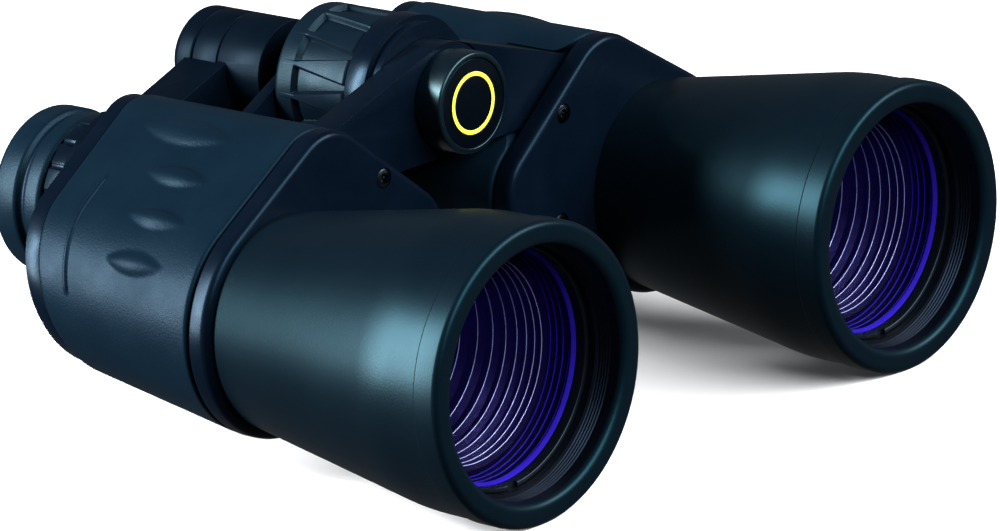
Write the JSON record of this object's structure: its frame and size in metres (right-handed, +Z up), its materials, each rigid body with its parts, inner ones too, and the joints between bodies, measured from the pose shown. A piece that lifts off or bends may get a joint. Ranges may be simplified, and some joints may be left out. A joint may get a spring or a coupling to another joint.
{
  "type": "binoculars",
  "caption": "Porro-prism binoculars with armoured prism housings, flared objective hoods, a folding hinge, centre focus wheel, dioptre ring and round rubber eyecups.",
  "frame": {"origin": "under the middle of the object, on the surface that the hoods stand on", "axes": "+Y forward to the objectives, +X to the user's right, +Z up"},
  "size_m": [0.1864, 0.1662, 0.0817],
  "materials": {
    "armour_rubber": "matte, fine grained",
    "body_paint": "satin black paint on die-cast aluminium",
    "tube_plastic": "satin black moulded",
    "baffle_plastic": "flat black",
    "black_anodised": "black anodised",
    "coated_glass": "violet-blue anti-reflection coating",
    "optical_glass": "polished",
    "shaft_steel": "ground",
    "screw_steel": "dark plated",
    "cap_plastic": "satin",
    "disc_plastic": "gloss, bare",
    "wheel_rubber": "satin moulded",
    "eyecup_rubber": "matte",
    "ring_plastic": "satin, notched"
  },
  "bodies": {
    "left_half": {"left_objective_tube": "tube_plastic", "left_objective_crown": "coated_glass", "left_objective_flint": "optical_glass", "left_retaining_ring": "black_anodised", "left_baffle_sleeve": "baffle_plastic", "left_front_plate": "body_paint", "left_plate_screws": "screw_steel", "left_prism_housing": "body_paint", "left_armour": "armour_rubber", "left_rear_cover": "body_paint", "left_cover_screws": "screw_steel", "left_prism_shelf": "black_anodised", "left_front_prism": "optical_glass", "left_rear_prism": "optical_glass", "left_prism_clips": "screw_steel", "hinge_axle": "shaft_steel", "hinge_cap": "cap_plastic", "hinge_cap_disc": "disc_plastic"},
    "right_half": {"right_objective_tube": "tube_plastic", "right_objective_crown": "coated_glass", "right_objective_flint": "optical_glass", "right_retaining_ring": "black_anodised", "right_baffle_sleeve": "baffle_plastic", "right_front_plate": "body_paint", "right_plate_screws": "screw_steel", "right_prism_housing": "body_paint", "right_armour": "armour_rubber", "right_rear_cover": "body_paint", "right_cover_screws": "screw_steel", "right_prism_shelf": "black_anodised", "right_front_prism": "optical_glass", "right_rear_prism": "optical_glass", "right_prism_clips": "screw_steel"},
    "focus_wheel": {"focus_wheel": "wheel_rubber"},
    "left_ocular": {"left_ocular_arm": "body_paint", "left_eyepiece_barrel": "black_anodised", "left_field_lens": "optical_glass", "left_eye_cell": "black_anodised", "left_eye_lens": "coated_glass", "left_eyecup": "eyecup_rubber", "focus_spindle": "shaft_steel", "bridge_dome": "body_paint"},
    "right_ocular": {"right_ocular_arm": "body_paint", "right_eyepiece_barrel": "black_anodised", "right_field_lens": "optical_glass"},
    "dioptre_ring": {"dioptre_ring": "ring_plastic"},
    "right_eye": {"right_eye_cell": "black_anodised", "right_eye_lens": "coated_glass", "right_eyecup": "eyecup_rubber"}
  },
  "joints": [
    {"name": "ipd_hinge", "type": "hinge", "parent": "left_half", "child": "right_half", "pos_m": [0, 0, 0.0647], "axis": [0, 1, 0], "range_deg": [-15, 20]},
    {"name": "left_focus_slide", "type": "slide", "parent": "left_half", "child": "left_ocular", "axis": [0, -1, 0], "range_m": [-0.0015, 0.006]},
    {"name": "right_focus_slide", "type": "slide", "parent": "right_half", "child": "right_ocular", "axis": [0, -1, 0], "range_m": [-0.00151, 0.00601]},
    {"name": "focus_turn", "type": "hinge", "parent": "left_half", "child": "focus_wheel", "pos_m": [0, 0, 0.0647], "axis": [0, 1, 0], "range_deg": [-75.1, 300.1]},
    {"name": "right_eye_slide", "type": "slide", "parent": "right_ocular", "child": "right_eye", "axis": [0, -1, 0], "range_m": [-0.0015, 0.0015]},
    {"name": "dioptre_turn", "type": "hinge", "parent": "right_ocular", "child": "dioptre_ring", "pos_m": [0.033, 0, 0.0395], "axis": [0, 1, 0], "range_deg": [-75.1, 75.1]}
  ],
  "couplings": [
    {"joint": "focus_turn", "follows": "left_focus_slide", "rad_per_m": 872.66},
    {"joint": "right_focus_slide", "follows": "left_focus_slide", "ratio": 1},
    {"joint": "dioptre_turn", "follows": "right_eye_slide", "rad_per_m": 872.66}
  ]
}
